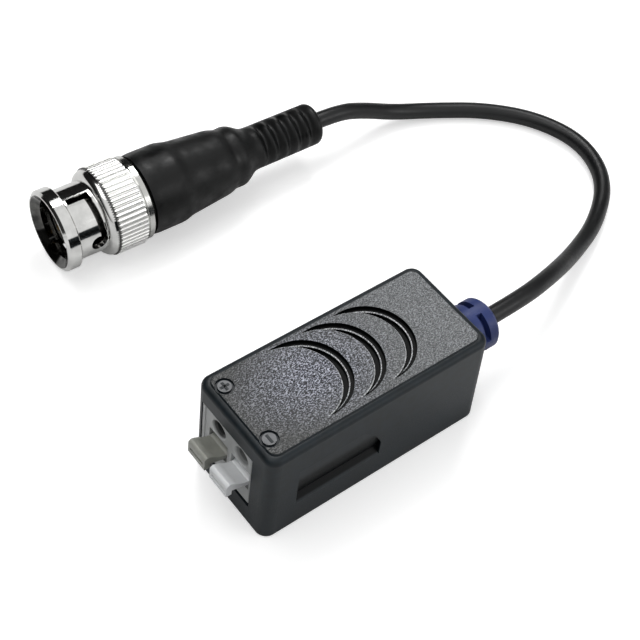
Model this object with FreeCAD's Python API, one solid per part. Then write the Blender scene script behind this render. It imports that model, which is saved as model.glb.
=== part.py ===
"""Video balun with a push-lever wire terminal at one end and a short coaxial lead to a bayonet plug.

Frame: origin on the housing's underside, midway between the lid's two ends, +X from the wire
terminal to the cord exit, +Y to the side that the plug lies on, +Z up. Millimetres.
"""
import FreeCAD, Part

import math
import os

V = FreeCAD.Vector

# housing shells
body_length = 38.0
body_width = 17.0
body_height = 18.5
rear_lean = 1.25
wall = 1.6
roof = 2.0
floor = 1.6
parting_z = 10.0
corner_radius = 1.8
inner_corner = 0.5
shoulder_radius = 0.9
foot_radius = 0.3
joint_clearance = 0.1
cut_past = 0.5
lap_height = 1.0
lap_thickness = 0.7

# raised textured panel and its crescents on the lid
panel_inset = 1.0
panel_raise = 0.25
panel_edge = 0.15
panel_corner = 1.3
crescent_count = 3
crescent_radius = 6.65
crescent_first_x = -7.0
crescent_pitch = 5.5
crescent_y = 0.3
crescent_width = 1.95
crescent_inset = 0.05
crescent_step_width = 0.72
crescent_step_inset = 0.6
crescent_step_depth = 0.5
crescent_depth = 1.1
crescent_bevel = 0.13
mark_x = -16.65
mark_spread = 10.05
mark_mid_y = 0.25
mark_radius = 1.35
mark_groove = 0.38
mark_depth = 0.3

# finger scoop on both long sides
scoop_front = -13.9
scoop_rear = 0.7
scoop_brink_z = 5.2
scoop_ledge_z = 6.1
scoop_depth = 0.95
scoop_middle_z = 9.8
scoop_middle_depth = 0.28
scoop_top_z = 13.5
scoop_run_out = 0.02
scoop_corner_low_z = 8.0
scoop_corner_middle = (-1.2, 11.2)
scoop_corner_high_x = -6.0

# circuit board
board_thickness = 1.6
board_front_gap = 0.3
board_rear_gap = 3.5
board_side_gap = 0.2
standoff = 0.6
standoff_size = 2.0

# two-pole terminal block; its heights are drops from the block's top
pole_pitch = 5.08
end_plate = 1.2
end_strip_width = 0.65
end_strip_rise = 0.12
end_strip_edge = 0.08
block_head_gap = 1.6
block_depth = 10.4
block_recess = 0.2
block_front_wall = 1.6
block_roof = 0.6
block_edge = 0.35
cell_width = 4.2
wire_hole_radius = 1.1
wire_hole_drop = 2.15
wire_funnel = 0.5
slot_low_drop = 7.7
slot_high_drop = 3.9

# press levers, with drops from the block's top; the finger's top falls along two arcs, as run and fall
lever_width = 3.9
lever_reach = 3.4
lever_low_drop = 6.5
lever_high_drop = 4.0
lever_tip_round = 0.55
lever_top = [(1.0, 0.2), (1.9, 0.85), (2.9, 1.45), (3.6, 1.7)]
lever_lip_length = 0.9
lever_lip_height = 0.9
lever_grip_drop = 5.75
lever_grip_height = 0.55
lever_grip_depth = 0.35
lever_grip_margin = 0.45
pivot_back = 5.0
pivot_drop = 5.6
pivot_boss_radius = 1.4
pivot_pin_radius = 0.6
pivot_clearance = 0.05
pivot_end = 0.3
horn_thickness = 0.7
horn_drop = 3.4
horn_length = 1.2

# clamp springs and contacts
spring_thickness = 0.3
spring_width = 3.2
spring_fold_gap = 0.5
spring_fold_radius = 0.75
spring_end_gap = 1.6
spring_tip_past = 2.4
contact_thickness = 0.4
contact_width = 2.2
contact_drop = 3.7
contact_leg_back = 9.2
solder_tail = 0.45

# parts on the board
core_outer_radius = 4.6
core_inner_radius = 2.4
core_height = 4.0
core_edge = 0.4
winding_wrap = 0.5
winding_angle = 110.0
arrester_radius = 1.75
arrester_length = 7.0
arrester_rear_gap = 5.4
arrester_groove_at = 1.0
arrester_groove_width = 0.3
arrester_groove_depth = 0.2
chip_length = 2.0
chip_width = 1.25
chip_height = 0.9
chip_gap = 0.4
chip_edge_gap = 1.3

# coaxial lead
cord_radius = 1.4
cord_clear = 0.02
cord_lead_out = 5.4
bend_share = 0.45
lead_radius = 0.45
lead_bend = 1.5
lead_foot_gaps = (2.6, 1.2)
signal_lead_aside = 0.3
shield_lead_aside = 0.9
tail_strip_gap = 4.2

# strain relief grommet
grommet_y = -1.0
grommet_radius = 4.0
grommet_neck_radius = 3.0
grommet_flange = 1.2
grommet_seat = 0.2
grommet_reach = 7.4
grommet_round = 1.0
grommet_tip_radius = 2.2
grommet_slot_at = 4.5
grommet_slot_width = 1.0
grommet_slot_depth = 1.3
grommet_web_angle = 22.0

# plug, measured along its own axis from the coupling nut's front face
plug_front = V(-17.25, 50.45, 7.3)
plug_yaw = -2.25
nut_bore_radius = 4.9
nut_rim_radius = 6.65
nut_rim_length = 2.3
nut_rim_edge = 0.4
nut_sleeve_radius = 5.75
nut_shoulder_at = 7.15
knurl_radius = 7.25
knurl_depth = 0.22
knurl_count = 56
knurl_from = 8.5
knurl_to = 13.5
nut_length = 14.0
nut_chamber_radius = 6.15
nut_chamber_from = 9.2
nut_mouth_chamfer = 1.1
nut_clock = 8.0
nut_neck_radius = 6.6
channel_width = 2.3
channel_radius = 5.5
channel_past_ramp = 0.05
ramp_from = 6.1
ramp_rise = 0.5
ramp_angle = 83.0
ramp_width = 2.2
ramp_radius = 5.42
window_from = 2.8
window_width = 1.05
detent_at = 5.6
detent_radius = 1.3
ring_length = 1.3
ring_radius = 6.9
ring_edge = 0.5
ring_spigot = 0.5
ring_bore_radius = 4.6
float_travel = 0.8
sleeve_front = 2.5
sleeve_radius = 4.05
sleeve_bore_radius = 3.4
sleeve_lead = 0.3
sleeve_slit = 0.4
sleeve_slit_length = 4.5
sleeve_slit_clock = 3.0
sleeve_relief_from = 8.4
sleeve_relief_radius = 3.8
flange_from = 9.5
flange_clearance = 0.1
barrel_radius = 4.3
barrel_end = 17.0
stem_radius = 1.5
stem_bore_radius = 0.95
stem_end = 23.0
insulator_front = 8.0
insulator_end = 15.0
pin_radius = 0.675
pin_front = 3.2
pin_tip = 0.8
pin_tip_radius = 0.25
pin_shank_from = 7.5
pin_shank_full = 7.9
pin_shank_radius = 1.0
pin_end = 14.5
core_wire_radius = 0.45
gasket_radius = 4.7
gasket_length = 0.8
washer_thickness = 0.4
washer_bore_radius = 4.55
washer_radius = 6.0
spring_washer_thickness = 0.3
ferrule_radius = 2.0
ferrule_from = 17.3
ferrule_end = 26.0

# moulded boot behind the plug, radii at places along the plug's axis
boot_front = 15.5
boot_end = 49.5
boot_lip_radius = 6.5
boot_lip_run = 0.5
boot_grip_radius = 6.72
boot_grip_end = 21.4
boot_step_run = 1.4
boot_step_radius = 6.25
boot_waist_at = 31.9
boot_waist_radius = 4.95
boot_shoulder_run = 1.3
boot_shoulder_rise = 0.55
boot_collar_radius = 5.15
boot_collar_run = 0.3
boot_collar_middle = (1.3, 0.05)
boot_collar_fall = 0.6
boot_collar_end = 34.6
boot_cove_middle = (1.1, 0.25)
boot_neck_at = 36.4
boot_neck_radius = 3.6
boot_tail_radius = 3.55
boot_end_round = 1.0
rib_count = 5
rib_first = 38.7
rib_pitch = 2.2
rib_ring_radius = 4.4
rib_section_radius = 0.8
rib_offset = 0.55
rib_tilt = 60.0

front_x = -body_length / 2
rear_x = body_length / 2
board_low_z = floor + standoff
board_top_z = board_low_z + board_thickness
board_front_x = front_x + wall + board_front_gap
board_rear_x = rear_x - wall - board_rear_gap
board_half_width = body_width / 2 - wall - board_side_gap
pole_mid_y = body_width / 2 - wall - joint_clearance - end_plate - pole_pitch
block_front_x = front_x + block_recess
block_rear_x = block_front_x + block_depth
block_top_z = body_height - roof - block_head_gap
wire_hole_z = block_top_z - wire_hole_drop
slot_low_z = block_top_z - slot_low_drop
slot_high_z = block_top_z - slot_high_drop
contact_z = block_top_z - contact_drop
block_low_y = pole_mid_y - pole_pitch
block_high_y = pole_mid_y + pole_pitch + end_plate
pole_y = {"plus": pole_mid_y + pole_pitch / 2, "minus": pole_mid_y - pole_pitch / 2}
pivot_x = front_x + pivot_back + block_recess
pivot_z = block_top_z - pivot_drop
horn_top_z = block_top_z - horn_drop
lever_low_z = block_top_z - lever_low_drop
lever_high_z = block_top_z - lever_high_drop
lever_grip_z = block_top_z - lever_grip_drop
arrester_x = board_rear_x - arrester_rear_gap
arrester_front_x = arrester_x - arrester_radius
core_x = (block_rear_x + arrester_front_x) / 2
chip_x = arrester_front_x - chip_gap - chip_width / 2
tail_strip_x = rear_x - tail_strip_gap
grommet_z = parting_z
grommet_seat_x = rear_x + grommet_seat
grommet_end_x = rear_x + grommet_reach
plug_axis = V(math.cos(math.radians(plug_yaw)), math.sin(math.radians(plug_yaw)), 0)

# route of the free lead from the grommet to the boot's end, lying on the surface between them
cord_rest_z = cord_radius + cord_clear
cord_route = [
    V(grommet_end_x, grommet_y, grommet_z),
    V(34.0, grommet_y, grommet_z),
    V(42.9, 1.1, 7.7),
    V(52.3, 4.5, 3.7),
    V(62.5, 8.7, cord_rest_z),
    V(71.0, 15.0, cord_rest_z),
    V(74.2, 23.9, cord_rest_z),
    V(71.4, 32.6, cord_rest_z),
    V(64.9, 39.6, cord_rest_z),
    V(56.6, 44.6, cord_rest_z),
    V(49.6, 47.2, 2.3),
    V(43.2, 48.0, 5.2),
    plug_front + plug_axis * (boot_end + cord_lead_out),
    plug_front + plug_axis * boot_end,
]


def box(x0, x1, y0, y1, z0, z1):
    return Part.makeBox(x1 - x0, y1 - y0, z1 - z0, V(x0, y0, z0))


def rod(radius, start, end):
    axis = end - start
    return Part.makeCylinder(radius, axis.Length, start, axis)


def tube(outer, inner, x0, x1):
    return rod(outer, V(x0, 0, 0), V(x1, 0, 0)).cut(rod(inner, V(x0, 0, 0), V(x1, 0, 0)))


def face_of(points):
    return Part.Face(Part.makePolygon(points + [points[0]]))


def outline_face(points, pieces=()):
    """A face in the plane of X and Z from (x, z) points; pieces may replace straight edges."""
    edges = []
    for i, (x, z) in enumerate(points):
        x2, z2 = points[(i + 1) % len(points)]
        edges.append(pieces[i] if i in pieces else Part.LineSegment(V(x, 0, z), V(x2, 0, z2)).toShape())
    return Part.Face(Part.Wire(edges))


def turned(profile, pieces=()):
    """A solid turned about the X axis from (x, radius) points."""
    return outline_face(profile, pieces).revolve(V(0, 0, 0), V(1, 0, 0), 360)


def profile_xz(points, y0, y1, pieces=()):
    """A flat outline in X and Z, given thickness in Y."""
    face = outline_face(points, pieces)
    face.translate(V(0, y0, 0))
    return face.extrude(V(0, y1 - y0, 0))


def arc_edge(start, middle, end):
    points = [V(x, 0, r) for x, r in (start, middle, end)]
    return Part.Arc(*points).toShape()


def round_middle(full, end):
    """The middle of a convex arc from the full radius to an end where it stands square to the axis."""
    run, drop = end[0] - full[0], full[1] - end[1]
    radius = (run ** 2 + drop ** 2) / (2 * abs(run))
    half = math.atan2(drop, radius - abs(run)) / 2
    return end[0] - math.copysign(radius * (1 - math.cos(half)), run), end[1] + radius * math.sin(half)


def rounded_outline(x0, x1, half_width, radius, z):
    """A rectangle with round corners, lying level."""
    low_x, high_x, y = x0 + radius, x1 - radius, half_width - radius
    arcs = []
    for cx, cy, start in ((high_x, y, 0), (low_x, y, 90), (low_x, -y, 180), (high_x, -y, 270)):
        angles = [math.radians(start + turn) for turn in (0, 45, 90)]
        arcs.append([V(cx + radius * math.cos(a), cy + radius * math.sin(a), z) for a in angles])
    edges = []
    for arc, following in zip(arcs, arcs[1:] + arcs[:1]):
        edges.append(Part.Arc(*arc).toShape())
        edges.append(Part.LineSegment(arc[2], following[0]).toShape())
    return Part.Wire(edges)


def edges_where(shape, test):
    return [e for e in shape.Edges if test(e)]


def standing(edge):
    a, b = edge.firstVertex().Point, edge.lastVertex().Point
    return abs(a.z - b.z) > 0.8 * edge.Length


def level_at(z):
    def test(edge):
        return all(abs(v.Point.z - z) < 0.01 for v in edge.Vertexes)
    return test


def front_edges(shape, x):
    return edges_where(shape, lambda e: all(abs(v.Point.x - x) < 0.01 for v in e.Vertexes))


def rounded_plate(half_length, half_width, radius, z0, z1):
    plate = box(-half_length, half_length, -half_width, half_width, z0, z1)
    return plate.makeFillet(radius, edges_where(plate, standing))


# housing
def rear_at(z):
    """The rear end leans out toward the foot."""
    return rear_x + rear_lean * (1 - z / (body_height - panel_raise))


def outer_form(lower):
    """The outer shape below or above the parting line, rounded at its corners and at its end."""
    low_z, high_z = (0, parting_z) if lower else (parting_z, body_height - panel_raise)
    outlines = []
    for z in (low_z, high_z):
        outlines.append(rounded_outline(front_x, rear_at(z), body_width / 2, corner_radius, z))
    form = Part.makeLoft(outlines, True, True)
    if lower:
        return form.makeFillet(foot_radius, edges_where(form, level_at(low_z)))
    return form.makeFillet(shoulder_radius, edges_where(form, level_at(high_z)))


def cavity(z0, z1, grow=0.0):
    half_length = body_length / 2 - wall + grow
    half_width = body_width / 2 - wall + grow
    return rounded_plate(half_length, half_width, inner_corner + grow, z0, z1)


def openings_in_shell():
    """The terminal's window at the front, and the grommet's hole and flat seat at the rear."""
    window = box(front_x - 1, front_x + wall + 1, block_low_y - joint_clearance,
                 block_high_y + joint_clearance, board_top_z, block_top_z + joint_clearance)
    seat = V(grommet_seat_x, grommet_y, grommet_z)
    hole = rod(grommet_neck_radius, V(rear_x - wall - 1, grommet_y, grommet_z), seat + V(1, 0, 0))
    recess = rod(grommet_radius + joint_clearance, seat, seat + V(rear_lean + 1, 0, 0))
    return window.fuse(hole.fuse(recess))


def scoop_section(side):
    """The scoop across: a ledge that falls outward, and a hollow above it that runs out to nothing."""
    face_y = side * body_width / 2

    def at(depth, z):
        return V(scoop_front, face_y - side * depth, z)
    fall = (scoop_ledge_z - scoop_brink_z) / scoop_depth
    outside = at(-1, scoop_brink_z - fall)
    inmost = at(scoop_depth, scoop_ledge_z)
    top = at(-scoop_run_out, scoop_top_z)
    hollow = Part.Arc(inmost, at(scoop_middle_depth, scoop_middle_z), top)
    corner = at(-1, scoop_top_z)
    edges = [Part.LineSegment(outside, inmost), hollow, Part.LineSegment(top, corner),
             Part.LineSegment(corner, outside)]
    return Part.Face(Part.Wire([edge.toShape() for edge in edges]))


def scoops():
    """A finger scoop on each long side, with its upper rear corner rounded off."""
    above = scoop_top_z + 1
    outline = [(scoop_front - 1, 0), (scoop_rear, 0), (scoop_rear, scoop_corner_low_z),
               (scoop_corner_high_x, above), (scoop_front - 1, above)]
    corner = arc_edge(outline[2], scoop_corner_middle, outline[3])
    within = profile_xz(outline, -body_width, body_width, {2: corner})
    length = V(scoop_rear - scoop_front + 1, 0, 0)
    cutters = [scoop_section(side).extrude(length).common(within) for side in (-1, 1)]
    return cutters[0].fuse(cutters[1])


def lap(clearance):
    """The lip that stands on the base and fits inside the lid."""
    outside = cavity(parting_z, parting_z + lap_height + clearance, lap_thickness + clearance)
    if clearance:
        return outside
    return outside.cut(cavity(parting_z - 1, parting_z + lap_height + 1))


def make_housing_base():
    shell = outer_form(True).cut(cavity(floor, parting_z))
    shell = shell.fuse(lap(0))
    pads = []
    for x in (board_front_x, board_rear_x - standoff_size):
        for y in (-board_half_width, board_half_width - standoff_size):
            pads.append(box(x, x + standoff_size, y, y + standoff_size, floor, board_low_z))
    for pad in pads:
        shell = shell.fuse(pad)
    shell = shell.cut(openings_in_shell()).cut(scoops())
    return shell.removeSplitter()


def disc_down(radius, edge_x, depth):
    """A round cutter from above, whose edge reaches edge_x and whose floor lies at the depth."""
    return Part.makeCylinder(radius, depth + 1, V(edge_x - radius, crescent_y, body_height - depth))


def crescent_island(radius, edge_x):
    """What stands inside a crescent, bevelled round its top."""
    rim = V(edge_x - radius, crescent_y, body_height - crescent_bevel)
    height = crescent_depth + 1
    post = Part.makeCylinder(radius, height, rim - V(0, 0, height))
    return post.fuse(Part.makeCone(radius, radius - crescent_bevel - 1, crescent_bevel + 1, rim))


def crescents():
    """Stepped crescent pockets: each is the moon left between two round outlines."""
    pockets = []
    middle_radius = crescent_radius - crescent_step_inset
    for i in range(crescent_count):
        tip = crescent_first_x + i * crescent_pitch + crescent_radius
        ridge_x = tip - crescent_step_width
        island = crescent_island(crescent_radius - crescent_inset, tip - crescent_width)
        pockets.append(disc_down(crescent_radius, tip, crescent_step_depth).cut(island))
        ridge = V(ridge_x - middle_radius, crescent_y, body_height - crescent_step_depth - crescent_bevel)
        bevel = Part.makeCone(middle_radius, middle_radius + crescent_bevel, crescent_bevel, ridge)
        pockets.append(disc_down(middle_radius, ridge_x, crescent_depth).fuse(bevel).cut(island))
    return pockets


def mark_rings():
    rings = []
    for side in (-1, 1):
        centre = V(mark_x, mark_mid_y + side * mark_spread / 2, body_height - mark_depth)
        ring = Part.makeCylinder(mark_radius, 1, centre)
        rings.append(ring.cut(Part.makeCylinder(mark_radius - mark_groove, 1, centre)))
    return rings


def make_housing_lid():
    shell = outer_form(False)
    half_length = body_length / 2 - panel_inset
    half_width = body_width / 2 - panel_inset
    panel = rounded_plate(half_length, half_width, panel_corner,
                          body_height - panel_raise - cut_past, body_height)
    panel = panel.makeChamfer(panel_edge, edges_where(panel, level_at(body_height)))
    shell = shell.fuse(panel)
    for cutter in crescents() + mark_rings():
        shell = shell.cut(cutter)
    shell = shell.cut(cavity(parting_z - 1, body_height - roof))
    shell = shell.cut(lap(joint_clearance))
    shell = shell.cut(openings_in_shell()).cut(scoops())
    return shell.removeSplitter()


# terminal block
def make_terminal_block():
    block = box(block_front_x, block_rear_x, block_low_y, block_high_y, board_top_z, block_top_z)
    block = block.makeChamfer(block_edge, front_edges(block, block_front_x))
    inner_x = block_front_x + block_front_wall
    strip_x = block_front_x - end_strip_rise
    strip = box(strip_x, inner_x, block_high_y - end_strip_width, block_high_y, board_top_z, block_top_z)
    block = block.fuse(strip.makeChamfer(end_strip_edge, front_edges(strip, strip_x)))
    for y in pole_y.values():
        low_y, high_y = y - cell_width / 2, y + cell_width / 2
        block = block.cut(box(inner_x, block_rear_x + 1, low_y, high_y, slot_low_z, block_top_z - block_roof))
        block = block.cut(box(block_front_x - 1, inner_x + 1, low_y, high_y, slot_low_z, slot_high_z))
        mouth = V(block_front_x, y, wire_hole_z)
        block = block.cut(rod(wire_hole_radius, mouth - V(1, 0, 0), mouth + V(block_front_wall + 1, 0, 0)))
        block = block.cut(Part.makeCone(wire_hole_radius + wire_funnel, wire_hole_radius, wire_funnel,
                                        mouth, V(1, 0, 0)))
        leg_x = front_x + contact_leg_back
        leg_half = contact_width / 2 + joint_clearance
        block = block.cut(box(leg_x - joint_clearance, block_rear_x + 1, y - leg_half, y + leg_half,
                              board_top_z - 1, slot_low_z + 1))
    return block.cut(pivot_rod(pivot_pin_radius)).removeSplitter()


def pivot_rod(radius):
    low, high = min(pole_y.values()) - cell_width / 2, max(pole_y.values()) + cell_width / 2
    return rod(radius, V(pivot_x, low - pivot_end, pivot_z), V(pivot_x, high + pivot_end, pivot_z))


def make_lever(y):
    """A press lever: the finger outside, the pivot eye inside and a horn on each side of the contact."""
    tip_x = front_x - lever_reach
    top = [(tip_x + run, lever_high_z - fall) for run, fall in lever_top]
    tip_low, tip_high = (tip_x, lever_high_z - lever_tip_round), (tip_x + lever_tip_round, lever_high_z)
    lip_x = tip_x + lever_lip_length
    outline = [
        (tip_x, lever_low_z), tip_low, tip_high, top[1], top[3],
        (pivot_x, pivot_z + pivot_boss_radius), (pivot_x, pivot_z - pivot_boss_radius),
        (top[3][0], lever_low_z), (lip_x, lever_low_z + lever_lip_height), (lip_x, lever_low_z),
    ]
    pieces = {
        1: arc_edge(tip_low, round_middle(tip_high, tip_low), tip_high),
        2: arc_edge(tip_high, top[0], top[1]),
        3: arc_edge(top[1], top[2], top[3]),
    }
    low_y, high_y = y - lever_width / 2, y + lever_width / 2
    lever = profile_xz(outline, low_y, high_y, pieces)
    eye = rod(pivot_boss_radius, V(pivot_x, low_y, pivot_z), V(pivot_x, high_y, pivot_z))
    lever = lever.fuse(eye)
    horn_x = pivot_x + pivot_boss_radius - horn_length
    for y0 in (low_y, high_y - horn_thickness):
        lever = lever.fuse(box(horn_x, horn_x + horn_length, y0, y0 + horn_thickness, pivot_z, horn_top_z))
    grip = box(tip_x - 1, tip_x + lever_grip_depth, low_y + lever_grip_margin, high_y - lever_grip_margin,
               lever_grip_z, lever_grip_z + lever_grip_height)
    lever = lever.cut(grip)
    bore = rod(pivot_pin_radius + pivot_clearance,
               V(pivot_x, low_y - 1, pivot_z), V(pivot_x, high_y + 1, pivot_z))
    return lever.cut(bore).removeSplitter()


def make_clamp_spring(y):
    """A bent strip: fixed along the roof, folded at the front, its free leg sloping back to the contact."""
    inner_x = block_front_x + block_front_wall
    roof_z = block_top_z - block_roof
    t = spring_thickness
    rear_x0 = block_rear_x - spring_end_gap
    tip_x = pivot_x + spring_tip_past
    tip_z = contact_z + contact_thickness + joint_clearance
    centre = (inner_x + spring_fold_gap + spring_fold_radius, roof_z - spring_fold_radius)
    slope = math.atan2(centre[1] - spring_fold_radius - tip_z, tip_x - centre[0])
    s, c = math.sin(slope), math.cos(slope)

    def on_fold(radius, angle):
        a = math.radians(angle)
        return V(centre[0] + radius * math.cos(a), 0, centre[1] + radius * math.sin(a))
    outer, inner = spring_fold_radius, spring_fold_radius - t
    low_angle = 270 - math.degrees(slope)
    a0, a1 = on_fold(outer, 90), on_fold(outer, low_angle)
    b0, b1 = on_fold(inner, 90), on_fold(inner, low_angle)
    run = (tip_x - a1.x) / c
    a2 = V(a1.x + run * c, 0, a1.z - run * s)
    b2 = V(b1.x + run * c, 0, b1.z - run * s)
    middle = (90 + low_angle) / 2
    edges = [
        Part.LineSegment(V(rear_x0, 0, roof_z), a0).toShape(),
        Part.Arc(a0, on_fold(outer, middle), a1).toShape(),
        Part.LineSegment(a1, a2).toShape(),
        Part.LineSegment(a2, b2).toShape(),
        Part.LineSegment(b2, b1).toShape(),
        Part.Arc(b1, on_fold(inner, middle), b0).toShape(),
        Part.LineSegment(b0, V(rear_x0, 0, roof_z - t)).toShape(),
        Part.LineSegment(V(rear_x0, 0, roof_z - t), V(rear_x0, 0, roof_z)).toShape(),
    ]
    strip = Part.Face(Part.Wire(edges)).extrude(V(0, spring_width, 0))
    strip.translate(V(0, y - spring_width / 2, 0))
    return strip


def make_contact(y):
    """A contact strip under the wire, with a leg down through the board."""
    inner_x = block_front_x + block_front_wall
    leg_x = front_x + contact_leg_back
    half = contact_width / 2
    end_x, top_z = leg_x + contact_thickness, contact_z + contact_thickness
    bar = box(inner_x, end_x, y - half, y + half, contact_z, top_z)
    leg = box(leg_x, end_x, y - half, y + half, board_low_z - solder_tail, top_z)
    return bar.fuse(leg).removeSplitter()


# board and the parts on it
def make_circuit_board():
    board = box(board_front_x, board_rear_x, -board_half_width, board_half_width, board_low_z, board_top_z)
    leg_x = front_x + contact_leg_back
    for y in pole_y.values():
        reach = contact_width / 2
        board = board.cut(box(leg_x, leg_x + contact_thickness, y - reach, y + reach, 0, board_top_z + 1))
    return board


def make_ferrite_core():
    centre = V(core_x, 0, board_top_z + winding_wrap)
    ring = Part.makeCylinder(core_outer_radius, core_height, centre)
    ring = ring.cut(Part.makeCylinder(core_inner_radius, core_height, centre))
    rims = edges_where(ring, lambda e: isinstance(e.Curve, Part.Circle))
    return ring.makeFillet(core_edge, rims)


def make_winding(side):
    """Wire wrapped round one half of the core, drawn as its outer form."""
    low = V(core_x, 0, board_top_z)
    height = core_height + 2 * winding_wrap
    start = side * 90 - winding_angle / 2

    wrap = Part.makeCylinder(core_outer_radius + winding_wrap, height, low, V(0, 0, 1), winding_angle)
    wrap.rotate(low, V(0, 0, 1), start)
    hole = Part.makeCylinder(core_inner_radius - winding_wrap, height, low)
    return wrap.cut(hole).cut(make_ferrite_core())


def make_surge_arrester():
    half = arrester_length / 2
    z = board_top_z + arrester_radius
    body = rod(arrester_radius, V(arrester_x, -half, z), V(arrester_x, half, z))
    for end in (-1, 1):
        start = V(arrester_x, end * (half - arrester_groove_at), z)
        stop = start - V(0, end * arrester_groove_width, 0)
        groove = rod(arrester_radius + 1, start, stop)
        body = body.cut(groove.cut(rod(arrester_radius - arrester_groove_depth, start, stop)))
    return body


def make_chip(x, y):
    return box(x - chip_width / 2, x + chip_width / 2, y - chip_length / 2, y + chip_length / 2,
               board_top_z, board_top_z + chip_height)


# lead inside the housing
def bent_lead(y, foot_gap):
    down_x = board_rear_x - foot_gap
    top = V(tail_strip_x, y, grommet_z)
    turn = V(down_x, y, grommet_z)
    foot = V(down_x, y, board_top_z)
    return round_route([top, turn, foot], lead_radius, [lead_bend])


def round_route(points, radius, bends):
    """A round bar along straight runs joined by tangent arcs, one bend radius for each inner point."""
    edges = []
    here = points[0]
    for before, corner, after, bend in zip(points, points[1:], points[2:], bends):
        back = (before - corner).normalize()
        on = (after - corner).normalize()
        half_turn = (math.pi - back.getAngle(on)) / 2
        trim = bend * math.tan(half_turn)
        start, end = corner + back * trim, corner + on * trim
        to_centre = (back + on).normalize()
        centre = corner + to_centre * (bend / math.cos(half_turn))
        edges.append(Part.LineSegment(here, start).toShape())
        edges.append(Part.Arc(start, centre - to_centre * bend, end).toShape())
        here = end
    edges.append(Part.LineSegment(here, points[-1]).toShape())
    path = Part.Wire(edges)
    section = Part.Wire(Part.makeCircle(radius, points[0], points[1] - points[0]))
    return path.makePipeShell([section], True, False)


def make_cable_tail():
    return rod(cord_radius, V(tail_strip_x, grommet_y, grommet_z), V(grommet_end_x, grommet_y, grommet_z))


# grommet
def make_cord_grommet():
    inner_face = rear_x - wall
    full, tip = (grommet_end_x - grommet_round, grommet_radius), (grommet_end_x, grommet_tip_radius)
    profile = [
        (inner_face - grommet_flange, cord_radius), (inner_face - grommet_flange, grommet_radius),
        (inner_face, grommet_radius), (inner_face, grommet_neck_radius),
        (grommet_seat_x, grommet_neck_radius), (grommet_seat_x, grommet_radius), full, tip,
        (grommet_end_x, cord_radius),
    ]
    grommet = turned(profile, {6: arc_edge(full, round_middle(full, tip), tip)})
    slot_x = rear_x + grommet_slot_at - grommet_slot_width / 2
    ring = tube(grommet_radius + 1, grommet_radius - grommet_slot_depth, slot_x, slot_x + grommet_slot_width)
    for i in range(4):
        web = box(slot_x - 1, slot_x + grommet_slot_width + 1, -web_half(), web_half(), 0, grommet_radius + 2)
        web.rotate(V(0, 0, 0), V(1, 0, 0), 90 * i)
        ring = ring.cut(web)
    grommet = grommet.cut(ring)
    grommet.translate(V(0, grommet_y, grommet_z))
    return grommet


def web_half():
    return grommet_radius * math.sin(math.radians(grommet_web_angle / 2))


# free lead
def route_bends(points):
    """The largest arcs that leave a short straight in every run."""
    bends = []
    for before, corner, after in zip(points, points[1:], points[2:]):
        back, on = before - corner, after - corner
        half_turn = (math.pi - back.getAngle(on)) / 2
        bends.append(bend_share * min(back.Length, on.Length) / math.tan(half_turn))
    return bends


def make_cord():
    bends = route_bends(cord_route)
    cord = round_route(cord_route, cord_radius, bends)
    length = cord.Volume / (math.pi * cord_radius ** 2)
    print("cord bend radii:", [round(b, 1) for b in bends], "length from volume:", round(length, 1))
    return cord


# plug
def on_plug(shape):
    """Moves a piece drawn along +X from the nut's front face to where the plug lies."""
    placed = shape.copy()
    placed.rotate(V(0, 0, 0), V(0, 0, 1), plug_yaw)
    placed.translate(plug_front)
    return placed


def knurled_band():
    """The grip band: a prism whose outline dips at every flute."""
    points = []
    for i in range(knurl_count * 2):
        radius = knurl_radius if i % 2 else knurl_radius - knurl_depth
        a = math.pi * i / knurl_count
        points.append(V(knurl_from, radius * math.cos(a), radius * math.sin(a)))
    return face_of(points).extrude(V(knurl_to - knurl_from, 0, 0))


def ramp_path():
    """A slow helix round the X axis that starts straight up, at the ramp's foot."""
    helix = Part.makeLongHelix(ramp_rise * 360 / ramp_angle, ramp_rise, nut_bore_radius)
    helix.rotate(V(0, 0, 0), V(0, 1, 0), 90)
    first = helix.Edges[0].valueAt(helix.Edges[0].FirstParameter)
    helix.rotate(V(0, 0, 0), V(1, 0, 0), math.degrees(math.atan2(first.y, first.z)))
    helix.translate(V(ramp_from - first.x, 0, 0))
    return Part.Wire(helix.Edges)


def along_ramp(path, width, low, high):
    """A cut of even width and depth that follows the ramp."""
    x0, x1 = ramp_from - width / 2, ramp_from + width / 2
    corners = [V(x0, 0, low), V(x1, 0, low), V(x1, 0, high), V(x0, 0, high)]
    return path.makePipeShell([Part.makePolygon(corners + corners[:1])], True, True)


def ramp_cutter():
    """The bayonet path for one lug: a blind channel and ramp inside, a narrow window along them through
    the wall, and a round hole at the ramp's end that the lug drops back into."""
    deep, high = nut_bore_radius - cut_past, nut_sleeve_radius + cut_past
    channel_end = ramp_from + ramp_width / 2 + channel_past_ramp
    channel = box(-1, channel_end, -channel_width / 2, channel_width / 2, 0, channel_radius)
    channel = channel.common(rod(channel_radius, V(-1, 0, 0), V(channel_end, 0, 0)))
    half = window_width / 2
    window = box(window_from, ramp_from + half, -half, half, deep, high)
    path = ramp_path()
    groove = along_ramp(path, ramp_width, deep, ramp_radius)
    slot = along_ramp(path, window_width, deep, high)
    last = path.Edges[-1]
    end = last.valueAt(last.LastParameter)
    out = V(0, end.y, end.z).normalize()
    detent = Part.makeCylinder(detent_radius, high - deep, V(detent_at, 0, 0) + out * deep, out)
    return [channel, window, groove, slot, detent]


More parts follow.
